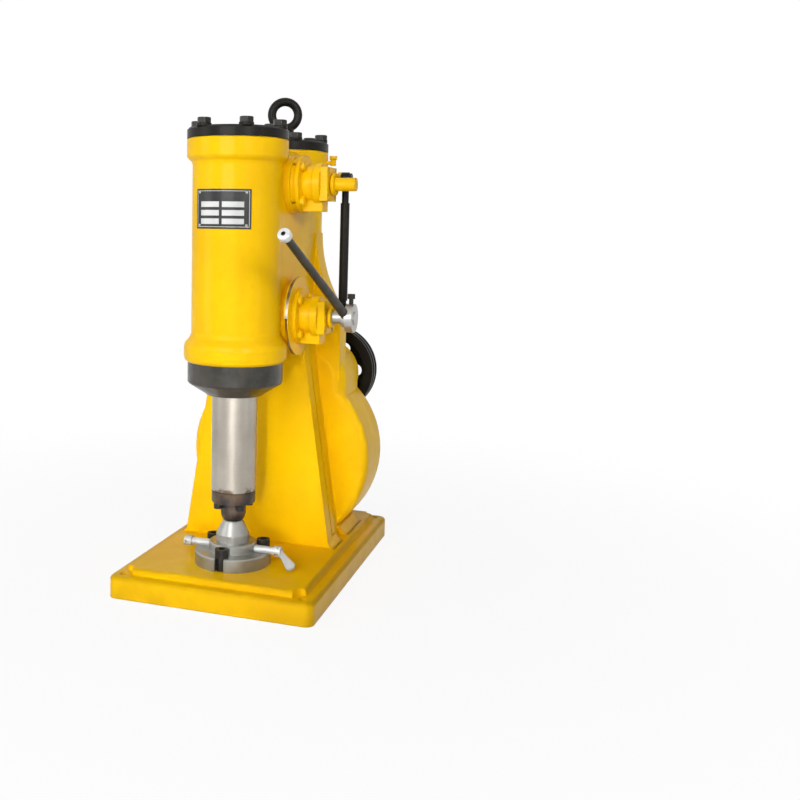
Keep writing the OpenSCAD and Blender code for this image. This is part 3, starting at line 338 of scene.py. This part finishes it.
zinc = machined_steel("zinc_plate", ZINC, ZINC_DULL, ROUND_X, 0.35)
white_metal = bored_knob("knob_metal")
bronze = bronze_bush("bronze_bush")
plate_print = machined_steel("plate_print", PRINT, PRINT_DULL, ROUND_Z, 0.1)
plate = enamel_on_casting("plate_enamel", PLATE, PLATE_DULL, 0.0006, 0.35)

LOOKS = {
    yellow: ["base", "frame", "oil_cups", "gear_cover", "upper_valve_body", "lower_valve_body",
             "valve_bolts", "upper_plug", "upper_arm", "lower_arm"],
    black: ["front_cap", "rear_cap", "eyebolt", "link_rod", "link_pin", "upper_pin", "pulley"],
    gland_black: ["gland"],
    screw_black: ["cap_bolts", "cover_bolts", "collar_screws", "holder_screws", "pulley_nut",
                  "hub_screw"],
    dark: ["die_collar", "upper_die", "ram_rings", "comp_rings"],
    handle_grey: ["handle", "conrod"],
    holder_grey: ["die_holder"],
    flange_rim: ["lower_flange"],
    ram_steel: ["ram"],
    die_steel: ["lower_die"],
    shaft_steel: ["pinion_shaft", "pinion", "gear", "crankshaft", "crank_pin", "wrist_pin"],
    cross_steel: ["lower_plug", "plate_rivets", "handle_hub"],
    zinc: ["right_clamp_screw", "left_clamp_screw", "right_clamp_lever"],
    piston_iron: ["comp_piston"],
    white_metal: ["knob"],
    bronze: ["guide_bush", "crank_bush", "pinion_bush", "rod_bush"],
    plate: ["nameplate"],
}
for material, names in LOOKS.items():
    for name in names:
        mesh = nodes[name].data
        mesh.materials.clear()
        mesh.materials.append(material)


def curved_panel(mesh, axis, radius, angles, heights, thick):
    """Adds a closed thin panel bent round an upright axis, in radians and metres."""
    steps = 12
    rings = []
    for step in range(steps + 1):
        angle = angles[0] + (angles[1] - angles[0]) * step / steps
        ring = []
        for reach, z in ((0, 0), (1, 0), (1, 1), (0, 1)):
            r = radius + reach * thick
            x, y = axis[0] + r * math.cos(angle), axis[1] + r * math.sin(angle)
            ring.append(mesh.verts.new((x, y, heights[z])))
        rings.append(ring)
    for first, second in zip(rings, rings[1:]):
        for k in range(4):
            mesh.faces.new((first[k], second[k], second[(k + 1) % 4], first[(k + 1) % 4]))
    mesh.faces.new(rings[0])
    mesh.faces.new(reversed(rings[-1]))
    bmesh.ops.recalc_face_normals(mesh, faces=mesh.faces)


def new_piece(name, mesh, material):
    """Turns mesh code into a named piece at the origin."""
    data = bpy.data.meshes.new(name)
    mesh.to_mesh(data)
    mesh.free()
    piece = bpy.data.objects.new(name, data)
    bpy.context.scene.collection.objects.link(piece)
    if material is not None:
        data.materials.append(material)
    return piece


def turned_piece(name, start, run, profile, material):
    """Revolves (distance along, radius) pairs round a line, as a closed turned piece."""
    segments = 48
    sharp = math.radians(35.0)
    side = run.orthogonal().normalized()
    other = run.cross(side)
    mesh = bmesh.new()
    rings = []
    for along, radius in profile:
        middle = start + run * along
        if radius == 0.0:
            rings.append([mesh.verts.new(middle)])
            continue
        ring = []
        for k in range(segments):
            angle = 2 * math.pi * k / segments
            outward = side * math.cos(angle) + other * math.sin(angle)
            ring.append(mesh.verts.new(middle + radius * outward))
        rings.append(ring)
    for first, second in zip(rings, rings[1:]):
        for k in range(segments):
            corners = [first[k % len(first)], first[(k + 1) % len(first)],
                       second[(k + 1) % len(second)], second[k % len(second)]]
            mesh.faces.new(list(dict.fromkeys(corners))).smooth = True
    bmesh.ops.recalc_face_normals(mesh, faces=mesh.faces)
    for edge in mesh.edges:
        edge.smooth = edge.calc_face_angle(0.0) < sharp
    return new_piece(name, mesh, material)


def handle_and_knob():
    """Tapered bar and bright bored knob, turned about the handle's own line."""
    low, high = (Vector(corner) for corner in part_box("handle"))
    run = Vector(HANDLE_RUN).normalized()
    middle = (low + high) / 2
    root = min((corner.co - middle).dot(run) for corner in nodes["handle"].data.vertices)
    tip = max((corner.co - middle).dot(run) for corner in nodes["knob"].data.vertices)
    bar_end = tip - 0.008
    bar_root_r, bar_end_r = 0.0085, 0.0065
    hole_end = tip - 0.0049
    bar = [(root, 0.0), (root, bar_root_r), (bar_end, bar_end_r), (bar_end, 0.0)]
    knob = [(bar_end, 0.0), (bar_end, bar_end_r), (tip - 0.0140, 0.0066), (tip - 0.0140, 0.0088),
            (tip - 0.0134, 0.0098), (tip - 0.0120, 0.0107), (tip - 0.0100, 0.0111),
            (tip - 0.0032, 0.0111), (tip - 0.0018, 0.0108), (tip - 0.0007, 0.0101), (tip, 0.0090),
            (tip, KNOB_HOLE_R), (hole_end, KNOB_HOLE_R), (hole_end, 0.0)]
    for name, node, profile, material in (("handle_bar", "handle", bar, handle_grey),
                                          ("handle_knob", "knob", knob, white_metal)):
        piece = turned_piece(name, middle, run, profile, material)
        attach(piece, "lower_valve")
        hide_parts(node)


def repeat_on_grid(piece, columns, turn, rows, rise, material, axis):
    """Repeats a piece round an upright axis and up it with Geometry Nodes, as one plain mesh."""
    tree = bpy.data.node_groups.new("repeat_" + piece.name, "GeometryNodeTree")
    tree.interface.new_socket("Geometry", in_out="INPUT", socket_type="NodeSocketGeometry")
    tree.interface.new_socket("Geometry", in_out="OUTPUT", socket_type="NodeSocketGeometry")
    source = tree.nodes.new("NodeGroupInput")
    line = tree.nodes.new("GeometryNodeMeshLine")
    line.inputs["Count"].default_value = rows
    line.inputs["Offset"].default_value = (0.0, 0.0, rise)
    upward = tree.nodes.new("GeometryNodeInstanceOnPoints")
    tree.links.new(line.outputs["Mesh"], upward.inputs["Points"])
    tree.links.new(source.outputs[0], upward.inputs["Instance"])
    hub = tree.nodes.new("GeometryNodeMeshLine")
    hub.inputs["Count"].default_value = columns
    hub.inputs["Start Location"].default_value = (axis[0], axis[1], 0.0)
    hub.inputs["Offset"].default_value = (0.0, 0.0, 0.0)
    index = tree.nodes.new("GeometryNodeInputIndex")
    angle = tree.nodes.new("ShaderNodeMath")
    angle.operation = "MULTIPLY"
    angle.inputs[1].default_value = turn
    tree.links.new(index.outputs[0], angle.inputs[0])
    about_z = tree.nodes.new("ShaderNodeCombineXYZ")
    tree.links.new(angle.outputs[0], about_z.inputs["Z"])
    around = tree.nodes.new("GeometryNodeInstanceOnPoints")
    tree.links.new(hub.outputs["Mesh"], around.inputs["Points"])
    tree.links.new(upward.outputs["Instances"], around.inputs["Instance"])
    tree.links.new(about_z.outputs[0], around.inputs["Rotation"])
    real = tree.nodes.new("GeometryNodeRealizeInstances")
    tree.links.new(around.outputs["Instances"], real.inputs["Geometry"])
    paint = tree.nodes.new("GeometryNodeSetMaterial")
    paint.inputs["Material"].default_value = material
    tree.links.new(real.outputs["Geometry"], paint.inputs["Geometry"])
    out = tree.nodes.new("NodeGroupOutput")
    tree.links.new(paint.outputs["Geometry"], out.inputs[0])
    modifier = piece.modifiers.new("repeat", "NODES")
    modifier.node_group = tree
    bpy.context.view_layer.update()
    seen = piece.evaluated_get(bpy.context.evaluated_depsgraph_get())
    plain = bpy.data.meshes.new_from_object(seen)
    piece.modifiers.clear()
    piece.data = plain
    plain.name = piece.name


def plate_fields():
    """Blank pale fields and a border line on the bare nameplate."""
    low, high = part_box("nameplate")
    ram_low, ram_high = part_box("ram")
    axis = ((ram_low[0] + ram_high[0]) / 2, (ram_low[1] + ram_high[1]) / 2)
    clearance = 0.00005
    radius = axis[1] - low[1] + clearance
    thick = 0.00025
    half_turn = math.asin(min(0.99, (high[0] - low[0]) / 2 / radius))
    front = -math.pi / 2
    line = 0.0010
    edge = 0.0030
    bottom, top = low[2] + edge, high[2] - edge
    left, right = front - half_turn + edge / radius, front + half_turn - edge / radius
    line_turn = line / radius
    between = (bottom + line, top - line)
    border = bmesh.new()
    for angles, heights in (((left, right), (bottom, bottom + line)),
                            ((left, right), (top - line, top)),
                            ((left, left + line_turn), between),
                            ((right - line_turn, right), between)):
        curved_panel(border, axis, radius, angles, heights, thick)
    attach(new_piece("plate_border", border, plate_print), "stand")
    columns, rows = 2, 3
    column_share, field_width, field_height = 0.43, 0.88, 0.66
    turn = (right - left) * column_share
    rise = 0.0145
    start = front - turn + turn * (1.0 - field_width) / 2
    field_bottom = bottom + 0.0050
    field = bmesh.new()
    angles = (start, start + turn * field_width)
    heights = (field_bottom, field_bottom + rise * field_height)
    curved_panel(field, (0.0, 0.0), radius, angles, heights, thick)
    fields = new_piece("plate_fields", field, None)
    repeat_on_grid(fields, columns, turn, rows, rise, plate_print, axis)
    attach(fields, "stand")


def seen_or_mirrored(tree):
    """1 for rays from the camera, off a gloss or through glass, 0 for the light on things."""
    rays = tree.nodes.new("ShaderNodeLightPath")
    total = rays.outputs["Is Camera Ray"]
    for kind in ("Is Glossy Ray", "Is Transmission Ray"):
        either = tree.nodes.new("ShaderNodeMath")
        either.operation = "MAXIMUM"
        tree.links.new(total, either.inputs[0])
        tree.links.new(rays.outputs[kind], either.inputs[1])
        total = either.outputs["Value"]
    return total


def pale_floor():
    """Wide pale floor, almost white to the camera and in gloss, that keeps a soft shadow."""
    near, far = 0.3, 1.6
    white_near, white_far = 0.90, 1.0
    bpy.ops.mesh.primitive_plane_add(size=60.0, location=(0.0, 0.0, 0.0))
    floor = bpy.context.object
    floor.name = "floor"
    material = bpy.data.materials.new("floor_pale")
    material.use_nodes = True
    tree = material.node_tree
    shader = tree.nodes["Principled BSDF"]
    shader.inputs["Base Color"].default_value = (*FLOOR, 1.0)
    shader.inputs["Roughness"].default_value = 0.9
    glow = tree.nodes.new("ShaderNodeEmission")
    glow.inputs["Color"].default_value = WHITE
    share = tree.nodes.new("ShaderNodeMath")
    share.operation = "MULTIPLY"
    place = tree.nodes.new("ShaderNodeTexCoord")
    reach = tree.nodes.new("ShaderNodeVectorMath")
    reach.operation = "LENGTH"
    tree.links.new(place.outputs["Object"], reach.inputs[0])
    fade = tree.nodes.new("ShaderNodeMapRange")
    fade.interpolation_type = "SMOOTHSTEP"
    fade.inputs["From Min"].default_value = near
    fade.inputs["From Max"].default_value = far
    fade.inputs["To Min"].default_value = white_near
    fade.inputs["To Max"].default_value = white_far
    tree.links.new(reach.outputs["Value"], fade.inputs["Value"])
    tree.links.new(fade.outputs["Result"], share.inputs[1])
    mix = tree.nodes.new("ShaderNodeMixShader")
    tree.links.new(seen_or_mirrored(tree), share.inputs[0])
    tree.links.new(share.outputs["Value"], mix.inputs["Fac"])
    tree.links.new(shader.outputs["BSDF"], mix.inputs[1])
    tree.links.new(glow.outputs["Emission"], mix.inputs[2])
    tree.links.new(mix.outputs["Shader"], tree.nodes["Material Output"].inputs["Surface"])
    floor.data.materials.append(material)


def pale_world():
    """Even weak light from all round, white to the camera and in gloss."""
    world = bpy.data.worlds.new("studio")
    bpy.context.scene.world = world
    world.use_nodes = True
    tree = world.node_tree
    background = tree.nodes["Background"]
    background.inputs["Color"].default_value = WHITE
    background.inputs["Strength"].default_value = 0.16
    white = tree.nodes.new("ShaderNodeBackground")
    white.inputs["Color"].default_value = WHITE
    mix = tree.nodes.new("ShaderNodeMixShader")
    tree.links.new(seen_or_mirrored(tree), mix.inputs["Fac"])
    tree.links.new(background.outputs["Background"], mix.inputs[1])
    tree.links.new(white.outputs["Background"], mix.inputs[2])
    tree.links.new(mix.outputs["Shader"], tree.nodes["World Output"].inputs["Surface"])


def soft_box(name, place, aim, size, power, spread=180.0):
    """Area light at a place, turned to a point, with its beam's spread in degrees."""
    light = bpy.data.lights.new(name, "AREA")
    light.spread = math.radians(spread)
    light.shape = "RECTANGLE"
    light.size, light.size_y = size
    light.energy = power
    lamp = bpy.data.objects.new(name, light)
    bpy.context.scene.collection.objects.link(lamp)
    lamp.location = place
    lamp.rotation_euler = (Vector(aim) - Vector(place)).to_track_quat("-Z", "Y").to_euler()


def photo_camera():
    """Camera at the photograph's place: front right, a little below the caps' height."""
    place = (0.6452, -1.8667, 0.6668)
    pixels = 800
    focal_px = 1019.8
    axis_px = (250, 332)
    pitch = 0.1037
    yaw = 0.3468
    roll = 0.0146
    lens = bpy.data.cameras.new("camera")
    lens.sensor_width = 36.0
    lens.lens = focal_px / pixels * lens.sensor_width
    lens.shift_x = (pixels / 2 - axis_px[0]) / pixels
    lens.shift_y = (axis_px[1] - pixels / 2) / pixels
    camera = bpy.data.objects.new("camera", lens)
    camera.location = place
    turn = Matrix.Rotation(yaw, 3, "Z") @ Matrix.Rotation(math.pi / 2 - pitch, 3, "X")
    camera.rotation_euler = (turn @ Matrix.Rotation(roll, 3, "Z")).to_euler()
    bpy.context.scene.collection.objects.link(camera)
    bpy.context.scene.camera = camera


plate_fields()
handle_and_knob()
pale_floor()
pale_world()

# Lights: place, aim and size in metres, power in watts, spread in degrees
centre = (0.0, 0.0, 0.45)
soft_box("key_box", (-0.2, -3.2, 1.5), centre, (1.8, 1.6), 57.0)
soft_box("chest_box", (1.9, -2.0, 1.7), (0.12, -0.1, 1.00), (1.8, 1.4), 3.0, 26.0)
soft_box("column_box", (0.5, -2.8, 0.5), (-0.04, -0.02, 0.20), (0.4, 0.3), 0.26, 13.0)
soft_box("right_strip", (2.4, -0.75, 0.95), (0.0, -0.15, 0.75), (0.03, 1.8), 3.0)
soft_box("left_box", (-2.2, -1.6, 1.1), centre, (1.1, 2.0), 15.0)
soft_box("top_box", (0.0, 0.2, 3.2), centre, (2.4, 2.4), 10.0)

photo_camera()
bpy.context.scene.view_settings.view_transform = "Standard"
